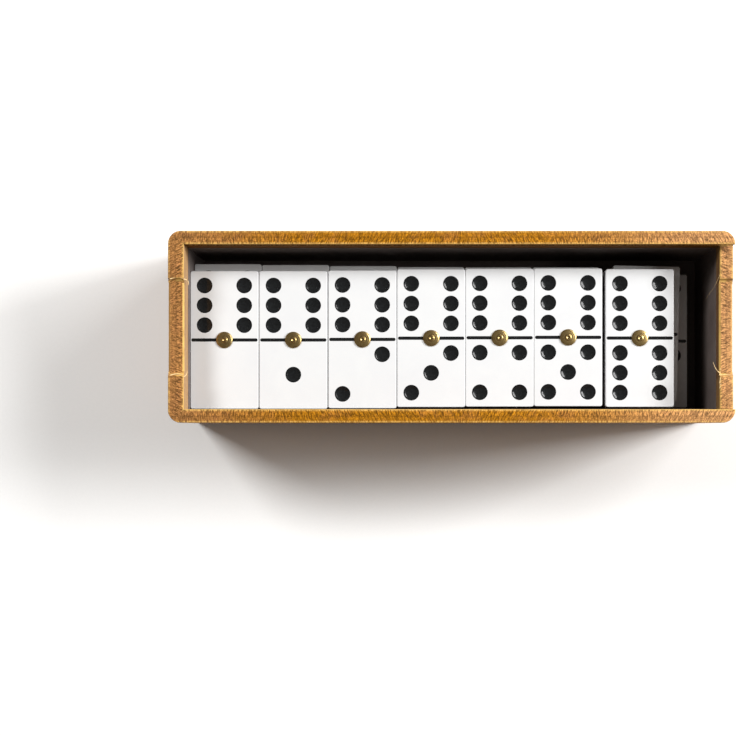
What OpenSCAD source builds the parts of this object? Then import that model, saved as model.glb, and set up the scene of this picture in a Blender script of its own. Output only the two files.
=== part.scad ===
// Domino storage box: a stained wooden case, open at the top, with a double-six
// set of twenty-eight dominoes lying flat in it in four layers of seven.
// The origin is the middle of the underside. +X runs along the box to the low
// entrance end, +Y to the rear wall and +Z up.

/* [Case] */
// Length over the outside
box_l = 201.2; // [198:0.1:215]
// Width over the outside
box_w = 68.1; // [67:0.1:80]
// Height of the side walls
box_h = 62.5; // [60:0.5:75]
// Thickness of the long walls and of the low end wall
wall_t = 4.8; // [4.6:0.1:4.9]
// Thickness of the mitred end wall
mitred_t = 5.6; // [4.8:0.1:6]
// Radius of the upright outer corners
corner_r = 4.5; // [2:0.5:4.5]
// Thickness of the floor board
floor_t = 4; // [3:0.5:5]
// Depth of the rebate that holds the floor board in the walls
rebate_d = 2; // [1:0.5:3]
// How far the entrance end wall stops below the rim
entry_drop = 4; // [3.5:0.5:6]

/* [Lid grooves] */
// Height of the groove in each long wall, whose floor is level with the entrance
groove_h = 2.4; // [1.5:0.1:2.8]
// Depth of the groove into the wall
groove_d = 1.8; // [1:0.1:2.5]

/* [Finger reliefs] */
// Length of the shallow relief in the rim of each end wall
relief_l = 34.5; // [20:0.5:40]
// Depth of the relief below the rim
relief_d = 1.5; // [0.8:0.1:2.5]
// Width of the chamfer on both long edges of the relief
relief_chamfer = 0.6; // [0.2:0.1:1]

/* [Lining] */
// Thickness of the black lining
lining_t = 0.2; // [0.1:0.1:0.3]
// How far the lining stops below the rim
lining_drop = 11.5; // [8:0.5:15]

/* [Dominoes] */
// Length of a domino
tile_l = 50.1; // [48:0.1:50.4]
// Width of a domino
tile_w = 24.8; // [24:0.1:24.8]
// Thickness of a domino
tile_t = 10; // [8:0.5:10]
// Radius of the upright edges of a domino
tile_r = 0.8; // [0.4:0.1:1.5]
// Chamfer round both faces of a domino
tile_chamfer = 0.3; // [0.1:0.1:0.6]
// Diameter of a pip
pip_d = 5.5; // [4:0.1:6]
// Depth of the recess that is filled with enamel
recess_deep = 1; // [0.8:0.1:1.5]
// Depth of the hollow that the enamel's surface sinks to
hollow_deep = 0.65; // [0.3:0.05:0.7]
// Distance from one row of pips to the next, and from the middle line to a column
pip_step = 7.2; // [6:0.1:7.5]
// Distance from the middle of a domino to the middle of a half's pips
half_offset = 12.6; // [12:0.1:13]
// Width of the bar across the middle
bar_w = 0.95; // [0.6:0.05:1.5]
// How far the bar stops short of each long edge
bar_margin = 0.5; // [0.4:0.1:2]
// Depth of the bar's recess
bar_deep = 0.6; // [0.4:0.1:1]
// How far the bar's enamel sinks below the face
bar_sunk = 0.1; // [0.05:0.05:0.2]

/* [Spinner pins] */
// Diameter of the brass pin's head
head_d = 6; // [4:0.1:6.5]
// Height of the head over the domino's face
head_h = 1; // [0.6:0.1:1.5]
// Diameter of the pin's shank
shank_d = 2; // [1.5:0.1:2.5]
// Length of the shank
shank_l = 7; // [5:0.5:7.5]

/* [Hidden] */
$fn = 64;
eps = 0.01; // how far a cutter reaches past the face that it cuts
slip = 0.02; // space round a piece that is set into another

inner_left = -box_l / 2 + mitred_t;
inner_right = box_l / 2 - wall_t;
inner_l = inner_right - inner_left;
inner_w = box_w - 2 * wall_t;
entry_h = box_h - entry_drop;
lining_top = box_h - lining_drop;
cove_r = relief_d;

ROWS = 7; // dominoes in a layer
LAYERS = 4;
TOP = LAYERS - 1;
column_step = 25; // from one column of dominoes to the next
row_start = inner_left + lining_t + 0.05; // left side of the first column
row_front = -inner_w / 2 + lining_t + 0.1; // front side of a domino pushed right up
layer_step = tile_t + head_h; // a domino lies on the pin head below it
stack_z = floor_t + lining_t;

// How far each domino lies from its column's left side and from the front,
// by layer from the floor up and by column from the left
shift_x = [
    [0.1, 0.1, 0.1, 0.1, 0.1, 0.1, 6.0],
    [0.1, 0.1, 0.1, 0.1, 0.1, 0.1, 9.3],
    [0.1, 0.1, 0.1, 0.1, 0.1, 0.1, 4.4],
    [0.05, 0.1, 0.2, 0.2, 0.1, 0.0, 1.05]
];
shift_y = [
    [1.0, 2.5, 1.8, 1.0, 0.8, 1.2, 1.5],
    [0.9, 1.4, 1.6, 1.9, 1.9, 1.8, 0.7],
    [3.6, 3.3, 2.9, 2.5, 2.4, 2.4, 2.9],
    [0.0, 0.0, 0.2, 0.65, 0.8, 0.95, 0.7]
];

// How far the end domino of the third layer has turned in its free space
loose_turn = -1.4;

// The twenty-one dominoes with no six on them, highest first
LOWER_SET = [for (high = [5:-1:0]) for (low = [0:high]) [high, low]];

// The halves of the domino at a layer and column: the rear half's pips, then the front's
function halves(layer, column) =
    layer == TOP ? [6, column] : LOWER_SET[(TOP - 1 - layer) * ROWS + column];
function named(kind, layer, column) =
    let (pair = halves(layer, column)) str(kind, "_", pair[0], "_", pair[1]);

// Points of an arc, from one angle to another
function arc(x, y, r, from, to, steps) =
    [for (i = [0:steps]) let (a = from + (to - from) * i / steps) [x + r * cos(a), y + r * sin(a)]];

// Points of a rectangle about the origin with each corner turned in the given steps
function eased(w, l, r, steps) = concat(
    arc(w / 2 - r, l / 2 - r, r, 0, 90, steps),
    arc(-w / 2 + r, l / 2 - r, r, 90, 180, steps),
    arc(-w / 2 + r, -l / 2 + r, r, 180, 270, steps),
    arc(w / 2 - r, -l / 2 + r, r, 270, 360, steps)
);

// ---- Case ----

module floor_board() {
    color("#a8743a")
        translate([(inner_left + inner_right) / 2, 0, floor_t / 2])
            cube([inner_l + 2 * rebate_d, inner_w + 2 * rebate_d, floor_t], center = true);
}

// What is cut from the square end of a wall to round its upright corner
module corner_cut(side_x, side_y) {
    translate([side_x * (box_l / 2 - corner_r), side_y * (box_w / 2 - corner_r), -eps])
        difference() {
            scale([side_x, side_y, 1])
                cube([corner_r + 1, corner_r + 1, box_h + 2 * eps]);
            translate([0, 0, -eps])
                cylinder(r = corner_r, h = box_h + 4 * eps);
        }
}

// A long wall: mitred at the left, square at the right, grooved for a lid
module long_wall(side) {
    difference() {
        linear_extrude(box_h)
            polygon([
                [-box_l / 2, side * box_w / 2],
                [box_l / 2, side * box_w / 2],
                [box_l / 2, side * inner_w / 2],
                [inner_left, side * inner_w / 2]
            ]);
        corner_cut(-1, side);
        corner_cut(1, side);
        floor_board();
        translate([inner_left, -inner_w / 2 - groove_d, entry_h])
            cube([inner_l + wall_t + 1, inner_w + 2 * groove_d, groove_h]);
    }
}

// The relief in an end wall's rim: flat, with a small cove at each end and both long
// edges chamfered. side is the end, thick the wall and top the height of its rim.
module finger_relief(side, thick, top) {
    mid = side * (box_l - thick) / 2;
    translate([mid - thick, 0, top])
        rotate([90, 0, 90])
            linear_extrude(2 * thick)
                polygon(concat(
                    arc(-relief_l / 2 + cove_r, 0, cove_r, 180, 270, 6),
                    arc(relief_l / 2 - cove_r, 0, cove_r, 270, 360, 6),
                    [[relief_l / 2, 1], [-relief_l / 2, 1]]
                ));
    for (edge = [-1, 1])
        translate([mid + edge * thick / 2, 0, top - relief_d])
            rotate([0, 45, 0])
                cube([relief_chamfer * sqrt(2), relief_l - 2 * cove_r, relief_chamfer * sqrt(2)],
                     center = true);
}

module rear_wall() {
    color("#b5803c") long_wall(1);
}

module front_wall() {
    color("#b5803c") long_wall(-1);
}

module left_end_wall() {
    color("#a8743f")
        difference() {
            linear_extrude(box_h)
                polygon([
                    [-box_l / 2, -box_w / 2],
                    [inner_left, -inner_w / 2],
                    [inner_left, inner_w / 2],
                    [-box_l / 2, box_w / 2]
                ]);
            corner_cut(-1, -1);
            corner_cut(-1, 1);
            floor_board();
            finger_relief(-1, mitred_t, box_h);
        }
}

// The entrance end is butted between the long walls and stops at the grooves' floor
module right_end_wall() {
    color("#c48e5a")
        difference() {
            translate([inner_right, -inner_w / 2, 0])
                cube([wall_t, inner_w, entry_h]);
            floor_board();
            finger_relief(1, wall_t, entry_h);
        }
}

// ---- Lining: thin black sheets glued to the floor and to the lower part of the walls ----

module lining_sheet(size, at) {
    color("#2a2524")
        translate(at) cube(size);
}

module floor_lining() {
    lining_sheet([inner_l, inner_w, lining_t], [inner_left, -inner_w / 2, floor_t]);
}

module long_lining(side) {
    y = side > 0 ? inner_w / 2 - lining_t : -inner_w / 2;
    lining_sheet([inner_l, lining_t, lining_top - stack_z], [inner_left, y, stack_z]);
}

module end_lining(side) {
    x = side > 0 ? inner_right - lining_t : inner_left;
    lining_sheet([lining_t, inner_w - 2 * lining_t, lining_top - stack_z],
                 [x, -inner_w / 2 + lining_t, stack_z]);
}

module rear_lining() {
    long_lining(1);
}

module front_lining() {
    long_lining(-1);
}

module left_end_lining() {
    end_lining(-1);
}

module right_end_lining() {
    end_lining(1);
}

// ---- Dominoes: each is drawn with the middle of its underside at the origin ----

// Places of a half's pips about the middle of the half, in steps
function pip_places(count) = concat(
    count % 2 == 1 ? [[0, 0]] : [],
    count >= 2 ? [[1, 1], [-1, -1]] : [],
    count >= 4 ? [[-1, 1], [1, -1]] : [],
    count == 6 ? [[-1, 0], [1, 0]] : []
);

// Puts its children at every pip of a domino, on the level of the face
module at_pips(pair) {
    for (half = [0, 1])
        for (place = pip_places(pair[half]))
            translate([place[0] * pip_step,
                       place[1] * pip_step + (half == 0 ? half_offset : -half_offset), tile_t])
                children();
}

// The hollow surface of a pip: part of a ball that meets the face just inside the pip's edge
module pip_hollow() {
    rim_r = pip_d / 2 - 0.15;
    ball_r = (pow(rim_r, 2) + pow(hollow_deep, 2)) / (2 * hollow_deep);
    translate([0, 0, ball_r - hollow_deep])
        sphere(r = ball_r);
}

// The bar across the middle, with round ends, between two depths below the face
module bar(deep, shallow, grow) {
    w = bar_w + 2 * grow;
    translate([0, 0, tile_t - deep])
        linear_extrude(deep - shallow)
            polygon(eased(tile_w - 2 * bar_margin + 2 * grow, w, 0.45 * w, 4));
}

// The moulded body, with upright edges rounded and both faces chamfered
module tile_body() {
    intersection() {
        linear_extrude(tile_t)
            polygon(eased(tile_w, tile_l, tile_r, 4));
        translate([0, tile_l, tile_t / 2])
            rotate([90, 0, 0])
                linear_extrude(2 * tile_l)
                    polygon(eased(tile_w, tile_t, tile_chamfer, 1));
        translate([-tile_w, 0, tile_t / 2])
            rotate([90, 0, 90])
                linear_extrude(2 * tile_w)
                    polygon(eased(tile_l, tile_t, tile_chamfer, 1));
    }
}

module pin_hole() {
    translate([0, 0, tile_t - shank_l - 0.5])
        cylinder(d = shank_d + 2 * slip, h = shank_l + 1);
}

// A body with open recesses, for the enamel that is a piece of its own
module tile_with_recesses(pair) {
    color("#f4f2ee")
        difference() {
            tile_body();
            at_pips(pair)
                translate([0, 0, -recess_deep]) cylinder(d = pip_d, h = recess_deep + 1);
            bar(bar_deep, -1, 0);
            pin_hole();
        }
}

// A body with its enamel in place, which leaves only the hollows open
module tile_with_hollows(pair) {
    color("#f4f2ee")
        difference() {
            tile_body();
            at_pips(pair) pip_hollow();
            bar(bar_sunk, -1, 0);
            pin_hole();
        }
}

// The enamel in a domino's recesses: a hollow disc in each pip, and the bar in two halves
module enamel(pair) {
    color("#101010")
        difference() {
            union() {
                at_pips(pair)
                    translate([0, 0, -recess_deep + slip])
                        cylinder(d = pip_d - 2 * slip, h = recess_deep - slip);
                bar(bar_deep - slip, bar_sunk, -slip);
            }
            at_pips(pair) pip_hollow();
            translate([0, 0, tile_t - 2])
                cylinder(d = shank_d + 4 * slip, h = 3);
        }
}

// A brass pin: a shank in the domino, a low domed head on its face, and a nub with a
// punched centre on the head. Drawn with the middle of the domino's underside at the origin.
module spinner_pin() {
    tip = 0.3; // chamfer at the end of the shank
    brim_h = 0.25;
    dome_h = head_h * 0.7;
    ring_deep = 0.05; // of the two grooves that the tool leaves round the dome
    nub_r = 1.1;
    punch_r = 0.45;
    punch_deep = 0.2;
    color("#8f7a3e")
        translate([0, 0, tile_t])
            rotate_extrude()
                polygon(concat(
                    [[0, -shank_l], [shank_d / 2 - tip, -shank_l], [shank_d / 2, -shank_l + tip]],
                    [[shank_d / 2, 0], [head_d / 2, 0]],
                    [for (i = [0:6]) let (a = i * 90 / 6)
                        [nub_r + (head_d / 2 - nub_r) * cos(a),
                         brim_h + (dome_h - brim_h) * sin(a) - (i == 2 || i == 4 ? ring_deep : 0)]],
                    [[nub_r - 0.15, head_h], [punch_r, head_h],
                     [punch_r - 0.15, head_h - 0.75 * punch_deep], [0, head_h - punch_deep]]
                ));
}

module place(layer, column) {
    translate([
        row_start + column * column_step + tile_w / 2 + shift_x[layer][column],
        row_front + tile_l / 2 + shift_y[layer][column],
        stack_z + layer * layer_step
    ])
        rotate([0, 0, layer == TOP - 1 && column == ROWS - 1 ? loose_turn : 0])
            children();
}

floor_board();
rear_wall();
front_wall();
left_end_wall();
right_end_wall();
floor_lining();
rear_lining();
front_lining();
left_end_lining();
right_end_lining();
for (layer = [0:TOP - 1])
    for (column = [0:ROWS - 1])
        place(layer, column) {
                tile_with_hollows(halves(layer, column));
                spinner_pin();
            }
for (column = [0:ROWS - 1]) {
    place(TOP, column) tile_with_recesses(halves(TOP, column));
    place(TOP, column) enamel(halves(TOP, column));
    place(TOP, column) spinner_pin();
}
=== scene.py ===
import math
import random

import bmesh
import bpy
from mathutils import Matrix, Vector
from mathutils.geometry import delaunay_2d_cdt


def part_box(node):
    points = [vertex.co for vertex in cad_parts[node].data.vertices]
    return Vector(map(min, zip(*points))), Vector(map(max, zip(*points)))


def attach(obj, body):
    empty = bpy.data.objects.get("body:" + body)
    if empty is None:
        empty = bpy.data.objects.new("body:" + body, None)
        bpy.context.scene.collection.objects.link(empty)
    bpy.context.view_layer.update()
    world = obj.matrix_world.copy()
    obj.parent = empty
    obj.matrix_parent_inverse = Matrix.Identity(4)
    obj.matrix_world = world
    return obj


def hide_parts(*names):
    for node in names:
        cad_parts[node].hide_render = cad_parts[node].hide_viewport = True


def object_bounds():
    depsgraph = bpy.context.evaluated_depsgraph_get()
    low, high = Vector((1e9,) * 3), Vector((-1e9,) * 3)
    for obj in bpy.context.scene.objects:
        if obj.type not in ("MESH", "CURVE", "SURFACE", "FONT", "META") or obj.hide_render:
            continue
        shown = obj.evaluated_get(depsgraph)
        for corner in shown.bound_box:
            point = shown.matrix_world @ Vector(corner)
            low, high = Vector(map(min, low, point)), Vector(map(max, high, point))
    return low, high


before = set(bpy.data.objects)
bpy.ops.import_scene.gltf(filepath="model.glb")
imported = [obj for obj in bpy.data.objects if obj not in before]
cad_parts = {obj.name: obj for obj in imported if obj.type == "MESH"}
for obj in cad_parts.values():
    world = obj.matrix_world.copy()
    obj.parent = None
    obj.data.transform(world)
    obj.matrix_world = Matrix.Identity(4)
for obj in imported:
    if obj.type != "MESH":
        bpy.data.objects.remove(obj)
cad_box = [list(corner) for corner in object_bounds()]


# ---- Floor board ----
# A thin beech board let into a rebate in the four walls and glued, stained with them and planed.
# It shows only from below, flush with the feet of the walls.

MM = 0.001  # m in a millimetre


def linear(hex_colour):
    """An sRGB hex colour as linear RGBA."""
    channels = [int(hex_colour[i:i + 2], 16) / 255 for i in (1, 3, 5)]
    return tuple(c / 12.92 if c <= 0.04045 else ((c + 0.055) / 1.055) ** 2.4 for c in channels) + (1.0,)


def add(tree, kind, inputs, out=0, **settings):
    """Adds a shader node with its settings; each input is a value or a link. Returns one output."""
    made = tree.nodes.new("ShaderNode" + kind)
    for setting, value in settings.items():
        setattr(made, setting, value)
    for socket, value in inputs.items():
        if isinstance(value, bpy.types.NodeSocket):
            tree.links.new(value, made.inputs[socket])
        else:
            made.inputs[socket].default_value = value
    return made.outputs[out] if made.outputs else None


def new_material(name):
    """A material with no nodes yet, its tree, and the place on the surface in mm."""
    material = bpy.data.materials.new(name)
    material.use_nodes = True
    tree = material.node_tree
    tree.nodes.clear()
    place = add(tree, "VectorMath", {0: add(tree, "TexCoord", {}, "Object"), "Scale": 1 / MM},
                operation="SCALE")
    return material, tree, place


# Stained beech. The rim is sawn and sanded across, so the dye sits between short raised fibres;
# the planed sides show long grain and the small dashes of beech; worn arrises are bare, and drawn pale
# partly as painted highlight.
# The end stains are paler than the middle one: partly uneven stain, partly painted sheen, and at the
# right also painted light
STAIN_AND_SHEEN_LEFT = "#96693c"
STAIN_MIDDLE = "#996411"
STAIN_AND_SHEEN_RIGHT = "#af8051"
STAIN_PINK = "#8f5c3e"
# pale wood for worn arrises, also standing in for the highlight they catch
BARE_BEECH_AND_HIGHLIGHT = "#e2b868"
SHEEN_LEFT = -50, -105   # mm along the box, where the painted sheen starts and is strongest
SHEEN_RIGHT = 25, 98     # mm, the same towards the right
FIBRE_W = 0.4           # mm across a raised fibre of the rim
FIBRE_L = 1.7           # mm along it
FIBRE_LEAN = 0.4        # how far a fibre leans along the wall, for each mm across it
LEAN_EVERY = 60         # mm along the wall from one lean to the next
OUTER_HALF = -0.3, 0.5  # mm out from the rim's middle, over which it grows smoother
SEAM_OUT = 0.1          # mm out from the rim's middle to its dark line
SEAM_W = 0.1, 0.45      # mm from that line's middle to where it starts to fade and where it ends
GRIT = 0.4              # mm, the scratches of the sandpaper, drawn coarse enough to show
CLOUD = 5               # mm across a patch where the dye took more or less
GRAIN_W = 1.375         # mm between grain lines on a planed side
GRAIN_L = 32.5          # mm along them
DASH_W = 0.3            # mm across a ray dash
DASH_L = 2.4            # mm along it
RUBBED_W = 0.9, 0.3     # mm in from each edge of the rim to where bare wood starts and is barest
SKIN = 0.1              # mm under the inner face that still counts as on it


def stained_beech(name, along, middle, thick, inside):
    """Beech with its grain along axis 0 or 1, for a wall whose middle is so many mm out, and
    whose inner face is painted a shade of its own: lighter where light falls on it, darker in shade."""
    material, tree, place = new_material(name)
    xyz = add(tree, "SeparateXYZ", {0: place}).node.outputs
    run, across, up = xyz[along], xyz[1 - along], xyz[2]
    out_by = add(tree, "Math", {0: across}, operation="ABSOLUTE")
    offset = add(tree, "Math", {0: out_by, 1: middle}, operation="SUBTRACT")
    from_middle = add(tree, "Math", {0: offset}, operation="ABSOLUTE")

    drift = add(tree, "TexNoise", {"W": run, "Scale": 1 / LEAN_EVERY, "Detail": 0.0},
                noise_dimensions="1D")
    lean = add(tree, "MapRange", {"Value": drift, "From Min": 0.35, "From Max": 0.65,
                                  "To Min": -FIBRE_LEAN, "To Max": FIBRE_LEAN})
    leaning = add(tree, "Math", {0: offset, 1: lean, 2: run}, operation="MULTIPLY_ADD")
    fibre_at = add(tree, "VectorMath", {0: add(tree, "CombineXYZ", {0: leaning, 1: offset, 2: up}),
                                        1: (1 / FIBRE_W, 1 / FIBRE_L, 1 / FIBRE_L)},
                   operation="MULTIPLY")
    fibre = add(tree, "TexNoise", {"Vector": fibre_at, "Scale": 1.0, "Detail": 2.0, "Roughness": 0.6})
    grit = add(tree, "TexNoise", {"Vector": place, "Scale": 1 / GRIT, "Detail": 2.0})
    cloud = add(tree, "TexNoise", {"Vector": place, "Scale": 1 / CLOUD, "Detail": 3.0,
                                   "Roughness": 0.6})

    # The rim: strong fibres in its inner half, a smoother outer half, and a thin dark line between
    outer_half = add(tree, "MapRange", {"Value": offset, "From Min": OUTER_HALF[0],
                                        "From Max": OUTER_HALF[1]}, interpolation_type="SMOOTHSTEP")
    fibre_tone = add(tree, "MapRange", {"Value": fibre, "From Min": 0.38, "From Max": 0.62,
                                        "To Min": 0.38, "To Max": 1.62})
    fibre_tone = add(tree, "Mix", {0: add(tree, "Math", {0: outer_half, 1: 0.35}, operation="MULTIPLY"),
                                   2: fibre_tone, 3: 1.0})
    grit_tone = add(tree, "MapRange", {"Value": grit, "From Min": 0.34, "From Max": 0.66,
                                       "To Min": 0.66, "To Max": 1.34})
    rim_tone = add(tree, "Math", {0: fibre_tone, 1: grit_tone}, operation="MULTIPLY")
    to_seam = add(tree, "Math", {0: add(tree, "Math", {0: offset, 1: SEAM_OUT}, operation="SUBTRACT")},
                  operation="ABSOLUTE")
    seam = add(tree, "MapRange", {"Value": to_seam, "From Min": SEAM_W[0], "From Max": SEAM_W[1],
                                  "To Min": 0.78, "To Max": 1.0}, interpolation_type="SMOOTHSTEP")
    rim_tone = add(tree, "Math", {0: rim_tone, 1: seam}, operation="MULTIPLY")

    # The planed sides: long grain, and short dashes that took more dye
    grain_at = add(tree, "VectorMath", {0: add(tree, "CombineXYZ", {0: run, 1: across, 2: up}),
                                        1: (1 / GRAIN_L, 1 / GRAIN_W, 1 / GRAIN_W)},
                   operation="MULTIPLY")
    grain = add(tree, "TexNoise", {"Vector": grain_at, "Scale": 1.0, "Detail": 5.0, "Roughness": 0.65,
                                   "Distortion": 0.4})
    grain_tone = add(tree, "MapRange", {"Value": grain, "From Min": 0.3, "From Max": 0.7,
                                        "To Min": 0.76, "To Max": 1.24})
    dash_at = add(tree, "VectorMath", {0: add(tree, "CombineXYZ", {0: run, 1: across, 2: up}),
                                       1: (1 / DASH_L, 1 / DASH_W, 1 / DASH_W)}, operation="MULTIPLY")
    dash = add(tree, "TexNoise", {"Vector": dash_at, "Scale": 1.0, "Detail": 1.0})
    dash_tone = add(tree, "MapRange", {"Value": dash, "From Min": 0.6, "From Max": 0.72,
                                       "To Min": 1.0, "To Max": 0.72}, interpolation_type="SMOOTHSTEP")
    side_tone = add(tree, "Math", {0: grain_tone, 1: dash_tone}, operation="MULTIPLY")

    facing = add(tree, "SeparateXYZ", {0: add(tree, "NewGeometry", {}, "Normal")}, 2)
    on_rim = add(tree, "MapRange", {"Value": facing, "From Min": 0.6, "From Max": 0.9},
                 interpolation_type="SMOOTHSTEP")
    tone = add(tree, "Mix", {0: on_rim, 2: side_tone, 3: rim_tone})

    # The stain is drawn paler towards both ends of the box, as painted sheen over partly uneven stain,
    # and brighter at the right as painted light; it is pink where it sank in patches
    sheen_to_left = add(tree, "MapRange", {"Value": xyz[0], "From Min": SHEEN_LEFT[0],
                                     "From Max": SHEEN_LEFT[1]}, interpolation_type="SMOOTHSTEP")
    sheen_to_right = add(tree, "MapRange", {"Value": xyz[0], "From Min": SHEEN_RIGHT[0],
                                      "From Max": SHEEN_RIGHT[1]}, interpolation_type="SMOOTHSTEP")
    stain = add(tree, "Mix", {0: sheen_to_left, 6: linear(STAIN_MIDDLE), 7: linear(STAIN_AND_SHEEN_LEFT)}, 2,
                data_type="RGBA")
    stain = add(tree, "Mix", {0: sheen_to_right, 6: stain, 7: linear(STAIN_AND_SHEEN_RIGHT)}, 2, data_type="RGBA")
    pink = add(tree, "MapRange", {"Value": cloud, "From Min": 0.47, "From Max": 0.7, "To Max": 0.3})
    pink = add(tree, "Math", {0: pink, 1: add(tree, "MapRange", {"Value": on_rim, "To Min": 0.3})},
               operation="MULTIPLY")
    stain = add(tree, "Mix", {0: pink, 6: stain, 7: linear(STAIN_PINK)}, 2, data_type="RGBA")

    # The inner face is painted a shade of its own: painted light where light falls on it, painted shade
    # where it lies in shadow
    inwards = add(tree, "MapRange", {"Value": offset, "From Min": SKIN - thick / 2,
                                     "From Max": -thick / 2, "To Min": 0.0, "To Max": 1.0})
    inwards = add(tree, "Mix", {0: on_rim, 2: inwards, 3: 0.0})
    stain = add(tree, "Mix", {0: inwards, 6: stain, 7: linear(inside)}, 2, data_type="RGBA")
    colour = add(tree, "VectorMath", {0: stain, "Scale": tone}, operation="SCALE")

    # Bare wood, partly worn and partly painted highlight: broken specks along both edges of the rim, and
    # wherever an arris turns over
    edge = add(tree, "MapRange", {"Value": from_middle, "From Min": thick / 2 - RUBBED_W[0],
                                  "From Max": thick / 2 - RUBBED_W[1]}, interpolation_type="SMOOTHSTEP")
    speck = add(tree, "MapRange", {"Value": fibre, "From Min": 0.4, "From Max": 0.62,
                                   "To Min": 0.1, "To Max": 0.75})
    rubbed = add(tree, "Math", {0: add(tree, "Math", {0: edge, 1: speck}, operation="MULTIPLY"),
                                1: on_rim}, operation="MULTIPLY")
    rising = add(tree, "MapRange", {"Value": facing, "From Min": 0.12, "From Max": 0.35})
    falling = add(tree, "MapRange", {"Value": facing, "From Min": 0.98, "From Max": 0.86})
    patch = add(tree, "MapRange", {"Value": cloud, "From Min": 0.3, "From Max": 0.6,
                                   "To Min": 0.5, "To Max": 1.0})
    inner_arris = add(tree, "MapRange", {"Value": offset, "From Min": 0.5, "From Max": -0.5,
                                         "To Min": 0.2, "To Max": 1.0})
    patch = add(tree, "Math", {0: patch, 1: inner_arris}, operation="MULTIPLY")
    turning = add(tree, "Math", {0: add(tree, "Math", {0: rising, 1: falling}, operation="MULTIPLY"),
                                 1: patch}, operation="MULTIPLY")
    bare = add(tree, "Math", {0: rubbed, 1: turning}, operation="MAXIMUM")
    colour = add(tree, "Mix", {0: bare, 6: colour, 7: linear(BARE_BEECH_AND_HIGHLIGHT)}, 2, data_type="RGBA")

    dull = add(tree, "MapRange", {"Value": fibre, "From Min": 0.3, "From Max": 0.7,
                                  "To Min": 0.68, "To Max": 0.48})
    relief = add(tree, "Mix", {0: on_rim, 2: grain, 3: fibre})
    height = add(tree, "Math", {0: grit, 1: 0.5, 2: relief}, operation="MULTIPLY_ADD")
    bump = add(tree, "Bump", {"Strength": 0.4, "Distance": 0.15 * MM, "Height": height})
    shader = add(tree, "BsdfPrincipled", {"Base Color": colour, "Roughness": dull, "Normal": bump,
                                          "Specular IOR Level": 0.1})
    add(tree, "OutputMaterial", {"Surface": shader})
    return material


def new_piece(form, name, body, material, replaced=()):
    """An object made of a form, which rides with its body in place of the replaced nodes."""
    mesh = bpy.data.meshes.new(name)
    form.to_mesh(mesh)
    form.free()
    mesh.materials.append(material)
    piece = bpy.data.objects.new(name, mesh)
    bpy.context.scene.collection.objects.link(piece)
    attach(piece, body)
    if replaced:
        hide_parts(*replaced)


WELD = 0.001               # mm, corners closer than this are one
FLAT = 0.01                # radians, faces that meet at less than this are one
SHARP = math.radians(40)   # an outer edge sharper than this is an arris
CREASE = math.radians(32)  # an edge sharper than this is shaded as a crease


def dressed(node, name, material, arris, steps, picks):
    """A wooden piece: the node's own form, with the outer edges that picks(edge) accepts rounded."""
    form = bmesh.new()
    form.from_mesh(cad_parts[node].data)
    bmesh.ops.remove_doubles(form, verts=form.verts, dist=WELD * MM)
    bmesh.ops.dissolve_limit(form, angle_limit=FLAT, verts=form.verts, edges=form.edges)
    sharp = [e for e in form.edges if len(e.link_faces) == 2
             and e.calc_face_angle_signed() > SHARP and picks(e)]
    bmesh.ops.bevel(form, geom=sharp, offset=arris * MM, segments=steps, profile=0.5,
                    affect="EDGES", clamp_overlap=True)
    for face in form.faces:
        face.smooth = True
    for edge in form.edges:
        edge.smooth = len(edge.link_faces) == 2 and edge.calc_face_angle() < CREASE
    new_piece(form, name, "case", material, [node])


# The case's length, width and height, and the thickness of its long walls and low end, in mm
BOX_L, BOX_W, BOX_H = ((high - low) / MM for low, high in zip(*cad_box))
WALL_T = BOX_W / 2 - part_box("rear_wall")[0][1] / MM
LONG_INNER_PAINTED_SHADE = "#7b4f16"  # the painted shade of the long walls' inner faces, which lie in shadow
BOARD_ARRIS = 0.15      # mm
BOARD_STEPS = 2
beech_long = stained_beech("stained_beech_long_walls", 0, (BOX_W - WALL_T) / 2, WALL_T, LONG_INNER_PAINTED_SHADE)
dressed("floor_board", "floor_board_planed", beech_long, BOARD_ARRIS, BOARD_STEPS, lambda edge: True)


# ---- Long walls ----
# Two stained beech boards, mitred at the left and square at the right, each with a groove
# for a sliding lid. Rim and foot are sawn and sanded, with their arrises eased by hand.

RIM_ARRIS = 0.4  # mm
ARRIS_STEPS = 4
CORNER_R = 4.5   # mm, the upright corners of the case
RIM_DEEP = 0.2   # mm under the top, how far down into a relief its arris is still eased
NEAR = 0.02      # mm, how near a corner must be to a line to count as on it
INNER_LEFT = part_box("left_end_wall")[1][0] / MM  # mm, where the left end wall's inner face is
MITRED_T = BOX_L / 2 + INNER_LEFT                # mm, the left end wall's thickness


def rim_or_foot(top):
    """Picks the edges in the rim and round the outside of the foot, but not the mitres."""
    def picks(edge):
        ends = [v.co / MM for v in edge.verts]
        # How far out each end lies from a line that is CORNER_R inside the case's outline
        beyond = [math.hypot(max(abs(e.x) - BOX_L / 2 + CORNER_R, 0),
                             max(abs(e.y) - BOX_W / 2 + CORNER_R, 0)) for e in ends]
        foot = all(e.z < NEAR for e in ends) and min(beyond) > CORNER_R - NEAR
        rim = all(e.z > top - RIM_DEEP for e in ends)
        mitre = all(e.x < 0 and abs((BOX_L / 2 + e.x) * WALL_T / MITRED_T - BOX_W / 2 + abs(e.y)) < NEAR
                    for e in ends)
        return (foot or rim) and not mitre
    return picks


for side in ("rear", "front"):
    dressed(side + "_wall", side + "_rail", beech_long, RIM_ARRIS, ARRIS_STEPS, rim_or_foot(BOX_H))


# ---- End walls ----
# The left one is mitred into the long walls; the right one is butted between them and is
# lower, to let the lid in. A finger relief is pared into the middle of each rim.

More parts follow.
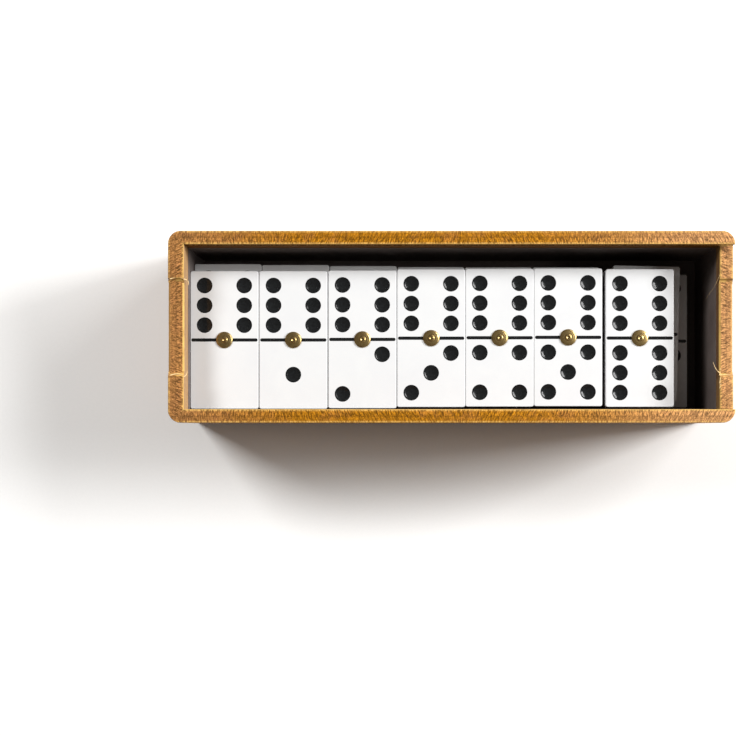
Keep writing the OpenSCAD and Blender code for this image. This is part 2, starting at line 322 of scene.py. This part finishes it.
ENTRY_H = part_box("right_end_wall")[1][2] / MM  # mm, how high the right end wall reaches
LEFT_INNER_PAINTED_LIGHT = "#ae8a63"   # their inner faces' painted light and shade: the left one lit paler, the right one shaded darker
RIGHT_INNER_PAINTED_SHADE = "#6b4f34"
beech_left = stained_beech("stained_beech_left_end", 1, (BOX_L - MITRED_T) / 2, MITRED_T, LEFT_INNER_PAINTED_LIGHT)
beech_right = stained_beech("stained_beech_right_end", 1, (BOX_L - WALL_T) / 2, WALL_T, RIGHT_INNER_PAINTED_SHADE)
for side, beech, top in (("left", beech_left, BOX_H), ("right", beech_right, ENTRY_H)):
    dressed(side + "_end_wall", side + "_end_rail", beech, RIM_ARRIS, ARRIS_STEPS, rim_or_foot(top))


# ---- Torn fibres ----
# Where the knife left the reliefs, the beech has split into bare curled fibres that were never
# stained. Each is a thin strand that tapers to a point, and some curl off over the opening.

INNER_RIGHT = BOX_L / 2 - WALL_T  # mm, where the right end wall's inner face is
RELIEF_END = 17.1    # mm from the middle of an end wall to the last of its relief
STRAND_RINGS = 12
STRAND_SIDES = 6
STRAND_TAPER = 0.97  # how much of a strand's section is gone at its tip
FRAY_COUNT = 14
FRAY_START = 1.9     # mm from the relief's front end
FRAY_STEP = 0.45     # mm from one strand of the fray to the next


def torn_fibre(form, arris, start, end, bow, radius):
    """A tapering strand with its middle pushed out by bow. Its start and end are measured from
    where the relief leaves the wall's inner arris, and all is in mm."""
    start, end, bow = arris + Vector(start), arris + Vector(end), Vector(bow)
    rings = []
    for i in range(STRAND_RINGS):
        t = i / (STRAND_RINGS - 1)
        centre = start.lerp(end, t) + bow * 4 * t * (1 - t)
        heading = (end - start + bow * 4 * (1 - 2 * t)).normalized()
        side = heading.orthogonal().normalized()
        r = radius * math.sqrt(1 - STRAND_TAPER * t)
        rings.append([form.verts.new((centre + Matrix.Rotation(math.tau * k / STRAND_SIDES, 3, heading)
                                      @ side * r) * MM) for k in range(STRAND_SIDES)])
    form.faces.new(list(reversed(rings[0])))
    form.faces.new(rings[-1])
    for lower, upper in zip(rings, rings[1:]):
        for k in range(STRAND_SIDES):
            j = (k + 1) % STRAND_SIDES
            form.faces.new((lower[k], lower[j], upper[j], upper[k])).smooth = True


DUST = 0.8  # mm across a speck of dust in the split wood


def bare_beech():
    """Torn beech: pale and dry, a little darker where dust has settled."""
    material, tree, place = new_material("bare_beech_torn")
    dust = add(tree, "TexNoise", {"Vector": place, "Scale": 1 / DUST, "Detail": 3.0})
    colour = add(tree, "Mix", {0: dust, 6: linear("#ffe6b0"), 7: linear("#eec183")}, 2, data_type="RGBA")
    bump = add(tree, "Bump", {"Strength": 0.3, "Distance": 0.05 * MM, "Height": dust})
    shader = add(tree, "BsdfPrincipled", {"Base Color": colour, "Roughness": 0.8, "Normal": bump})
    add(tree, "OutputMaterial", {"Surface": shader})
    return material


pale_beech = bare_beech()

# At the left, a split runs across the wall at each end of the relief, and two curl off it
splits = bmesh.new()
rear_end = Vector((INNER_LEFT, RELIEF_END, BOX_H))
front_end = Vector((INNER_LEFT, -RELIEF_END, BOX_H))
for arris in (rear_end, front_end):
    torn_fibre(splits, arris, (0.6 - MITRED_T, -0.2, -0.4), (-0.2, 0, -0.3), (0, 0.45, 0.05), 0.24)
torn_fibre(splits, rear_end, (-0.2, -0.2, -0.5), (1.4, -2.3, -1.8), (0.7, 0.5, 0.1), 0.22)
torn_fibre(splits, front_end, (-0.1, -0.5, -0.4), (1.1, 1.4, -1.6), (0.2, -0.5, 0.1), 0.18)
new_piece(splits, "torn_fibres_left", "case", pale_beech)

# At the right, one split, one curl, one long hair, and a fray along the inner arris
splits = bmesh.new()
rear_end = Vector((INNER_RIGHT, RELIEF_END, ENTRY_H))
front_end = Vector((INNER_RIGHT, -RELIEF_END, ENTRY_H))
torn_fibre(splits, front_end, (0.3, 0, -0.25), (WALL_T - 0.5, 0, -0.2), (0, 0.2, 0.15), 0.16)
torn_fibre(splits, front_end, (0.2, 0.7, -0.1), (-2.5, 4.7, 0.6), (-0.3, -0.5, 0.3), 0.15)
torn_fibre(splits, rear_end, (0, 1.7, 0), (-5.2, -7.5, -4), (0.4, -0.2, 1.0), 0.025)
chance = random.Random(11)
for number in range(FRAY_COUNT):
    along = FRAY_START - FRAY_STEP * number
    lift = chance.uniform(-0.1, 0.25)
    inwards, sideways = chance.uniform(-0.7, 0.5), chance.uniform(-1.3, 0.9)
    torn_fibre(splits, front_end, (0.15, along, -0.15), (0.15 + inwards, along + sideways, lift),
               (0, 0, 0.15), 0.13)
new_piece(splits, "torn_fibres_right", "case", pale_beech)


# ---- Lining ----
# Black-brown paper glued to the floor and to the lower part of the walls. The sheets are
# thin and lie flat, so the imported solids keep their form.

PAPER_FIBRE = 0.6  # mm, the pulp's own tangle
PAPER_CLOUD = 16   # mm across a patch where the glue has sheened the paper


def black_paper():
    """Black paper gone grey-brown, with a dull calendered sheen in clouds."""
    material, tree, place = new_material("black_paper_glued")
    tangle = add(tree, "TexNoise", {"Vector": place, "Scale": 1 / PAPER_FIBRE, "Detail": 4.0,
                                    "Roughness": 0.7})
    cloud = add(tree, "TexNoise", {"Vector": place, "Scale": 1 / PAPER_CLOUD, "Detail": 2.0})
    amount = add(tree, "Math", {0: tangle, 1: 0.4,
                                2: add(tree, "Math", {0: cloud, 1: 0.6}, operation="MULTIPLY")},
                 operation="MULTIPLY_ADD")
    amount = add(tree, "MapRange", {"Value": amount, "From Min": 0.35, "From Max": 0.65})
    colour = add(tree, "Mix", {0: amount, 6: linear("#5d524e"), 7: linear("#746a66")}, 2,
                 data_type="RGBA")
    dull = add(tree, "MapRange", {"Value": cloud, "From Min": 0.3, "From Max": 0.7,
                                  "To Min": 0.5, "To Max": 0.7})
    bump = add(tree, "Bump", {"Strength": 0.4, "Distance": 0.05 * MM, "Height": tangle})
    shader = add(tree, "BsdfPrincipled", {"Base Color": colour, "Roughness": dull, "Normal": bump,
                                          "IOR": 1.45})
    add(tree, "OutputMaterial", {"Surface": shader})
    return material


paper = black_paper()
for node in ("floor_lining", "rear_lining", "front_lining", "left_end_lining", "right_end_lining"):
    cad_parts[node].data.materials[0] = paper


# ---- Domino bodies ----
# White urea resin, moulded and tumbled so that every edge is soft. A round recess is drilled for
# each pip, a slot is milled for each half of the bar, and a blind hole takes the pin.

DOUBLE = 6  # the highest number of the set
PAIRS = [(high, low) for high in range(DOUBLE + 1) for low in range(high + 1)]
ASKEW = (4, 0)  # the domino that lies askew in its free space
ASKEW_TURN = math.radians(-1.4)

# A domino's width, length and thickness, in mm, without the pin
TILE_W, TILE_L, TILE_T = ((high - low) / MM for low, high in zip(*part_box("tile_6_0")))
TILE_CORNER = 0.8    # mm, the radius of the upright edges
TILE_EDGE = 0.25     # mm, the radius round both faces
EDGE_STEPS = 4
PIP_R = 2.87         # mm, the drilled recess
PIP_DEEP = 1.0       # mm
PIP_STEP = 7.2       # mm from one row of pips to the next
PIP_STEPS = 40
HALF_OFFSET = 12.6   # mm from the middle of the domino to the middle of a half's pips
BAR_W = 1.2          # mm
BAR_DEEP = 0.6       # mm, the bar's recess
BAR_MARGIN = 0.32    # mm from the end of the bar to the domino's long edge
BAR_INNER = 1.6      # mm from the pin's middle to where each half of the bar starts, under its head
PIN_HOLE_R = 1.02    # mm
PIN_HOLE_DEEP = 7.5  # mm
HOLE_STEPS = 24

# The pips' places in a half, in steps from its middle, by their number
PLACES = {0: [], 1: [(0, 0)], 2: [(1, 1), (-1, -1)]}
PLACES[3] = PLACES[2] + PLACES[1]
PLACES[4] = PLACES[2] + [(-1, 1), (1, -1)]
PLACES[5] = PLACES[4] + PLACES[1]
PLACES[6] = PLACES[4] + [(-1, 0), (1, 0)]


def rounded(width, length, radius, steps=6):
    """Points of a rectangle about the origin, anticlockwise, with round corners."""
    points = []
    for quarter, (sx, sy) in enumerate(((1, 1), (-1, 1), (-1, -1), (1, -1))):
        for i in range(steps + 1):
            a = math.radians(90 * (quarter + i / steps))
            points.append((sx * (width / 2 - radius) + radius * math.cos(a),
                           sy * (length / 2 - radius) + radius * math.sin(a)))
    return points


def disc(x, y, radius, steps):
    """Points of a circle about a place."""
    return [(x + radius * math.cos(math.tau * i / steps), y + radius * math.sin(math.tau * i / steps))
            for i in range(steps)]


def slot_outline(x0, x1, width, steps=8):
    """Points of a slot along X with round ends."""
    r = width / 2
    points = []
    for centre, start in ((x1 - r, -90), (x0 + r, 90)):
        for i in range(steps + 1):
            a = math.radians(start + 180 * i / steps)
            points.append((centre + r * math.cos(a), r * math.sin(a)))
    return points


def ring_of(form, points, z):
    """New corners of a form at flat points on one level, in mm."""
    return [form.verts.new((x * MM, y * MM, z * MM)) for x, y in points]


def bridge(form, lower, upper):
    """Smooth faces between two rings of as many corners."""
    count = len(lower)
    made = [form.faces.new((lower[i], lower[(i + 1) % count], upper[(i + 1) % count], upper[i]))
            for i in range(count)]
    for face in made:
        face.smooth = True


def pip_centres(pair):
    """The middles of all the pips of a domino; the pair's first number is the rear half's."""
    return [(px * PIP_STEP, py * PIP_STEP + offset)
            for count, offset in zip(pair, (HALF_OFFSET, -HALF_OFFSET)) for px, py in PLACES[count]]


def tile_form(pair):
    """The moulded body, with its drilled recesses, about the middle of its underside."""
    form = bmesh.new()
    turn = [math.radians(90 * i / EDGE_STEPS) for i in range(EDGE_STEPS + 1)]
    levels = [(TILE_EDGE * (1 - math.sin(a)), TILE_EDGE * (1 - math.cos(a))) for a in turn]
    rings = [ring_of(form, rounded(TILE_W - 2 * inset, TILE_L - 2 * inset, TILE_CORNER - inset), z)
             for inset, z in levels + [(i, TILE_T - z) for i, z in reversed(levels)]]
    for lower, upper in zip(rings, rings[1:]):
        bridge(form, lower, upper)
    form.faces.new(list(reversed(rings[0])))

    holes = [(disc(x, y, PIP_R, PIP_STEPS), PIP_DEEP) for x, y in pip_centres(pair)]
    bar_end = TILE_W / 2 - BAR_MARGIN
    holes += [(slot_outline(BAR_INNER, bar_end, BAR_W), BAR_DEEP),
              (slot_outline(-bar_end, -BAR_INNER, BAR_W), BAR_DEEP),
              (disc(0, 0, PIN_HOLE_R, HOLE_STEPS), PIN_HOLE_DEEP)]
    outlines = [rings[-1]]
    for points, deep in holes:
        top = ring_of(form, points, TILE_T)
        bottom = ring_of(form, points, TILE_T - deep)
        bridge(form, top, bottom)
        form.faces.new(bottom)
        outlines.append(top)

    # The upper face is the outline less the holes, in triangles. One with all its corners on
    # one hole lies in that hole, so it is left out.
    verts = [v for outline in outlines for v in outline]
    owner = [number for number, outline in enumerate(outlines) for _ in outline]
    loops, start = [], 0
    for outline in outlines:
        loops += [(start + i, start + (i + 1) % len(outline)) for i in range(len(outline))]
        start += len(outline)
    inside, closest = 1, 1e-9  # keep what is within the loops; m between two corners
    _, _, faces, origins, _, _ = delaunay_2d_cdt([v.co.xy for v in verts], loops, [], inside, closest)
    for face in faces:
        corners = [origins[i][0] for i in face]
        owners = {owner[c] for c in corners}
        if owners == {0} or len(owners) > 1:
            made = form.faces.new([verts[c] for c in corners])
            made.normal_update()
            if made.normal.z < 0:
                made.normal_flip()
    for ring in [rings[0]] + outlines:
        for i, vert in enumerate(ring):
            form.edges.get((vert, ring[(i + 1) % len(ring)])).smooth = False
    return form


FLOW = 11    # mm across a cloud where the resin flowed into the mould
SPECK = 0.4  # mm, a fleck of filler, drawn coarse enough to show
RUB = 1.25   # mm across a patch that other dominoes have rubbed


def urea_resin():
    """Moulded urea resin: a dense white with a low polish, faint flow clouds and rubbed patches."""
    material, tree, place = new_material("urea_resin_moulded")
    cloud = add(tree, "TexNoise", {"Vector": place, "Scale": 1 / FLOW, "Detail": 4.0, "Roughness": 0.6,
                                   "Distortion": 0.6})
    colour = add(tree, "Mix", {0: add(tree, "MapRange", {"Value": cloud, "From Min": 0.3,
                                                         "From Max": 0.7}),
                               6: linear("#d8d9da"), 7: linear("#dcdddd")}, 2, data_type="RGBA")
    speck = add(tree, "TexNoise", {"Vector": place, "Scale": 1 / SPECK, "Detail": 2.0})
    speck = add(tree, "MapRange", {"Value": speck, "From Min": 0.68, "From Max": 0.8, "To Max": 0.25})
    colour = add(tree, "Mix", {0: speck, 6: colour, 7: linear("#c9c4b8")}, 2, data_type="RGBA")
    rub = add(tree, "TexNoise", {"Vector": place, "Scale": 1 / RUB, "Detail": 5.0, "Roughness": 0.7})
    dull = add(tree, "MapRange", {"Value": rub, "From Min": 0.3, "From Max": 0.7,
                                  "To Min": 0.27, "To Max": 0.4})
    bump = add(tree, "Bump", {"Strength": 0.08, "Distance": 0.05 * MM, "Height": rub})
    shader = add(tree, "BsdfPrincipled", {"Base Color": colour, "Roughness": dull, "Normal": bump,
                                          "IOR": 1.55})
    add(tree, "OutputMaterial", {"Surface": shader})
    return material


def domino_part(form, kind, pair, material, node):
    """Puts a form made about the middle of a domino's underside where that domino lies. Only on
    the top layer do the enamel and the pin have solids to replace; below it they are part of the
    domino's."""
    number = f"{pair[0]}_{pair[1]}"
    lowest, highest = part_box("tile_" + number)
    middle = Vector(((lowest[0] + highest[0]) / 2, (lowest[1] + highest[1]) / 2, lowest[2]))
    turned = Matrix.Rotation(ASKEW_TURN if pair == ASKEW else 0, 4, "Z")
    bmesh.ops.transform(form, matrix=Matrix.Translation(middle) @ turned, verts=form.verts)
    bmesh.ops.recalc_face_normals(form, faces=form.faces)
    replaced = [f"{node}_{number}"] if pair[0] == DOUBLE or node == "tile" else []
    new_piece(form, f"{kind}_{number}", f"domino_{number}", material, replaced)


resin = urea_resin()
for pair in PAIRS:
    domino_part(tile_form(pair), "domino_body", pair, resin, "tile")


# ---- Enamel ----
# Black enamel poured into the recesses of each domino. It sinks as it dries, so each pip is a
# glossy hollow and the bar lies just under the face.

PIP_RIM_R = 2.72    # mm, where the hollow starts
PIP_LIP = 0.03      # mm, the eased edge of the enamel
HOLLOW_DEEP = 0.65  # mm, the lowest point of the hollow
HOLLOW_STEPS = 7
SLIP = 0.02         # mm between the enamel and its recess
PEEL = 0.7          # mm from one ripple of the enamel to the next

# The bar's section: mm in from its outline, and mm over the face of the domino
BAR_SECTION = (0, -BAR_DEEP + SLIP), (0, -0.04), (0.04, 0), (0.16, -0.06), (0.32, -0.1)


def revolved(form, profile, x, y, z, steps):
    """Turns a profile of (radius, height) points, in mm, that starts and ends on the axis."""
    rings = []
    for radius, height in profile:
        if radius == 0:
            rings.append([form.verts.new((x * MM, y * MM, (z + height) * MM))])
        else:
            rings.append(ring_of(form, disc(x, y, radius, steps), z + height))
    for lower, upper in zip(rings, rings[1:]):
        for i in range(steps):
            j = (i + 1) % steps
            corners = []
            for vert in (lower[i % len(lower)], lower[j % len(lower)],
                         upper[j % len(upper)], upper[i % len(upper)]):
                if vert not in corners:
                    corners.append(vert)
            form.faces.new(corners).smooth = True


def enamel_form(pair):
    """The enamel in a body's recesses: a hollow disc in each pip, and the bar in two halves."""
    form = bmesh.new()
    ball = (PIP_RIM_R ** 2 + HOLLOW_DEEP ** 2) / (2 * HOLLOW_DEEP)
    hollow = [(r, ball - HOLLOW_DEEP - math.sqrt(ball ** 2 - r ** 2))
              for r in (PIP_RIM_R * i / HOLLOW_STEPS for i in range(HOLLOW_STEPS, -1, -1))]
    edge = PIP_R - SLIP
    profile = [(0, -PIP_DEEP + SLIP), (edge, -PIP_DEEP + SLIP), (edge, -PIP_LIP), (edge - PIP_LIP, 0.0)]
    for x, y in pip_centres(pair):
        revolved(form, profile + hollow, x, y, TILE_T, PIP_STEPS)
    bar_end = TILE_W / 2 - BAR_MARGIN - SLIP
    for x0, x1 in ((BAR_INNER + SLIP, bar_end), (-bar_end, -BAR_INNER - SLIP)):
        rings = []
        for inset, z in BAR_SECTION:
            outline = slot_outline(x0 + inset, x1 - inset, BAR_W - 2 * SLIP - 2 * inset)
            rings.append(ring_of(form, outline, TILE_T + z))
        form.faces.new(list(reversed(rings[0])))
        form.faces.new(rings[-1])
        for lower, upper in zip(rings, rings[1:]):
            bridge(form, lower, upper)
    return form


def black_enamel():
    """Poured enamel: deep black with a wet gloss and a faint orange peel."""
    material, tree, place = new_material("black_enamel_poured")
    peel = add(tree, "TexNoise", {"Vector": place, "Scale": 1 / PEEL, "Detail": 2.0})
    colour = add(tree, "Mix", {0: add(tree, "MapRange", {"Value": peel, "From Min": 0.35,
                                                         "From Max": 0.65}),
                               6: linear("#141516"), 7: linear("#1b1d1e")}, 2, data_type="RGBA")
    gloss = add(tree, "MapRange", {"Value": peel, "From Min": 0.3, "From Max": 0.7,
                                   "To Min": 0.1, "To Max": 0.2})
    bump = add(tree, "Bump", {"Strength": 0.3, "Distance": 0.06 * MM, "Height": peel})
    shader = add(tree, "BsdfPrincipled", {"Base Color": colour, "Roughness": gloss, "Normal": bump,
                                          "Specular IOR Level": 0.32})
    add(tree, "OutputMaterial", {"Surface": shader})
    return material


enamel = black_enamel()
for pair in PAIRS:
    domino_part(enamel_form(pair), "domino_enamel", pair, enamel, "pips")


# ---- Spinner pins ----
# Brass nails turned with a low domed head, rings from the tool and a nub with a punched
# centre, pressed into the domino's middle. The brass has dulled to olive brown.

SHANK_R = 1.0        # mm
SHANK_L = 7          # mm
SHANK_TIP = 0.3      # mm, the chamfer of its tip
HEAD_R = 3.0         # mm
BRIM_H = 0.25        # mm over the face, where the dome starts
DOME_H = 0.45        # mm, the dome over the brim
DOME_STEPS = 12
GROOVED = 4, 8, 11   # the steps of the dome that a ring is cut at
GROOVE_DEEP = 0.05   # mm, the rings
NUB_R = 1.1          # mm
NUB_FOOT = 0.1       # mm from the nub to the dome's top
PIN_STEPS = 48
BLOT = 1.1           # mm across a blot of tarnish
CHATTER = 0.22       # mm, the marks of the turning tool

# The sections of the head's edge and of the nub, upwards to the punched centre: mm from the
# pin's axis, and mm over the face of the domino
HEAD_SECTION = [(HEAD_R - 0.05, 0), (HEAD_R, 0.06), (HEAD_R, 0.2)]
NUB_SECTION = [(NUB_R, 0.74), (NUB_R - 0.06, 0.9), (NUB_R - 0.22, 0.98), (0.6, 1.0), (0.46, 0.93),
               (0.34, 0.8), (0, 0.74)]


def pin_profile():
    """(radius, height) from the shank's tip to the punched centre; the domino's face is at 0."""
    shank = [(0, -SHANK_L), (SHANK_R - SHANK_TIP, -SHANK_L), (SHANK_R, SHANK_TIP - SHANK_L),
             (SHANK_R, 0)]
    dome = []
    dome_r = HEAD_R - NUB_R - NUB_FOOT
    for i in range(1, DOME_STEPS + 1):
        a = math.radians(90 * i / DOME_STEPS)
        groove = GROOVE_DEEP if i in GROOVED else 0.0
        dome.append((NUB_R + NUB_FOOT + dome_r * math.cos(a), BRIM_H + DOME_H * math.sin(a) - groove))
    return shank + HEAD_SECTION + dome + NUB_SECTION


def aged_brass():
    """Turned brass under a thin tarnish: dull olive, brown in blots, brighter where fingers rub."""
    material, tree, place = new_material("brass_turned_aged")
    tarnish = add(tree, "TexNoise", {"Vector": place, "Scale": 1 / BLOT, "Detail": 5.0, "Roughness": 0.7})
    amount = add(tree, "MapRange", {"Value": tarnish, "From Min": 0.35, "From Max": 0.65})
    colour = add(tree, "Mix", {0: amount, 6: linear("#d3b97c"), 7: linear("#987e52")}, 2,
                 data_type="RGBA")
    dull = add(tree, "MapRange", {"Value": tarnish, "From Min": 0.3, "From Max": 0.7,
                                  "To Min": 0.26, "To Max": 0.45})
    fine = add(tree, "TexNoise", {"Vector": place, "Scale": 1 / CHATTER, "Detail": 2.0})
    bump = add(tree, "Bump", {"Strength": 0.5, "Distance": 0.05 * MM, "Height": fine})
    shader = add(tree, "BsdfPrincipled", {"Base Color": colour, "Roughness": dull, "Normal": bump,
                                          "Metallic": 1.0})
    add(tree, "OutputMaterial", {"Surface": shader})
    return material


brass = aged_brass()
for pair in PAIRS:
    pin = bmesh.new()
    revolved(pin, pin_profile(), 0, 0, TILE_T, PIN_STEPS)
    domino_part(pin, "spinner_pin", pair, brass, "pin")


# ---- Paper floor ----
# A sheet of white paper laid flat under the box, much wider than the frame, for the box to stand on.

FLOOR_R = 4.0  # m from its middle to each side
PULP = 1.1     # mm across a fleck in the paper
sheet = bpy.data.meshes.new("paper_floor")
sheet.from_pydata([(-FLOOR_R, -FLOOR_R, 0), (FLOOR_R, -FLOOR_R, 0), (FLOOR_R, FLOOR_R, 0),
                   (-FLOOR_R, FLOOR_R, 0)], [], [(0, 1, 2, 3)])
floor = bpy.data.objects.new("paper_floor", sheet)
bpy.context.scene.collection.objects.link(floor)

# Uncoated paper: matt, and so even that only a faint fleck shows
paper_white, tree, place = new_material("white_paper_matt")
pulp = add(tree, "TexNoise", {"Vector": place, "Scale": 1 / PULP, "Detail": 2.0})
colour = add(tree, "Mix", {0: pulp, 6: linear("#f3f3f2"), 7: linear("#f7f7f6")}, 2, data_type="RGBA")
shader = add(tree, "BsdfPrincipled", {"Base Color": colour, "Roughness": 0.9, "Specular IOR Level": 0.0})
add(tree, "OutputMaterial", {"Surface": shader})
sheet.materials.append(paper_white)


# ---- Lights and camera ----
# Two wide soft lights one over the other from the right and rear, a fill from the left and
# rear, and the camera above the front of the box, its lens shifted.

LIGHT_AWAY = 1.4   # m from each light to the middle of the rim
AIR_STRENGTH = 0.165  # a faint warm light from all round
RIM_AWAY = 600.0   # mm from the camera down to the rim
CAMERA_AT = (-11.2, -35.9, BOX_H + RIM_AWAY)  # mm
FIELD = 260.9      # mm across the frame at the rim
SENSOR = 36.0      # mm
FRAME = 736        # pixels across the frame
SHIFT = (-52, 60)  # pixels from the point under the camera to the frame's middle


def studio_light(name, azimuth, elevation, width, height, power):
    """A soft light towards the middle of the rim, so many degrees round from +X and up from
    level, with its width and height in m and its power in W."""
    lamp = bpy.data.lights.new(name, "AREA")
    lamp.shape = "RECTANGLE"
    lamp.size, lamp.size_y = width, height
    lamp.energy = power
    light = bpy.data.objects.new(name, lamp)
    a, e = math.radians(azimuth), math.radians(elevation)
    away = Vector((math.cos(e) * math.cos(a), math.cos(e) * math.sin(a), math.sin(e)))
    light.location = Vector((0, 0, BOX_H * MM)) + away * LIGHT_AWAY
    light.rotation_euler = away.to_track_quat("Z", "Y").to_euler()
    bpy.context.scene.collection.objects.link(light)
    return light


studio_light("key_light", 23, 42, 0.90, 0.24, 12.3)
studio_light("low_light", 13, 26, 0.38, 0.22, 18.3)
# The fill is left out of reflections, so that each hollow pip has one highlight
studio_light("fill_light", 144, 46, 0.45, 0.45, 13.4).visible_glossy = False

scene = bpy.context.scene
scene.view_settings.view_transform = "Standard"
world = bpy.data.worlds.new("studio_air")
world.use_nodes = True
air = world.node_tree.nodes["Background"]
air.inputs["Color"].default_value = linear("#fff5ec")
air.inputs["Strength"].default_value = AIR_STRENGTH
scene.world = world

lens = bpy.data.cameras.new("studio_camera")
lens.sensor_width = SENSOR
lens.lens = SENSOR * RIM_AWAY / FIELD
lens.shift_x, lens.shift_y = (pixels / FRAME for pixels in SHIFT)
lens.clip_start = 0.01  # m
camera = bpy.data.objects.new("studio_camera", lens)
camera.location = [c * MM for c in CAMERA_AT]
scene.collection.objects.link(camera)
scene.camera = camera
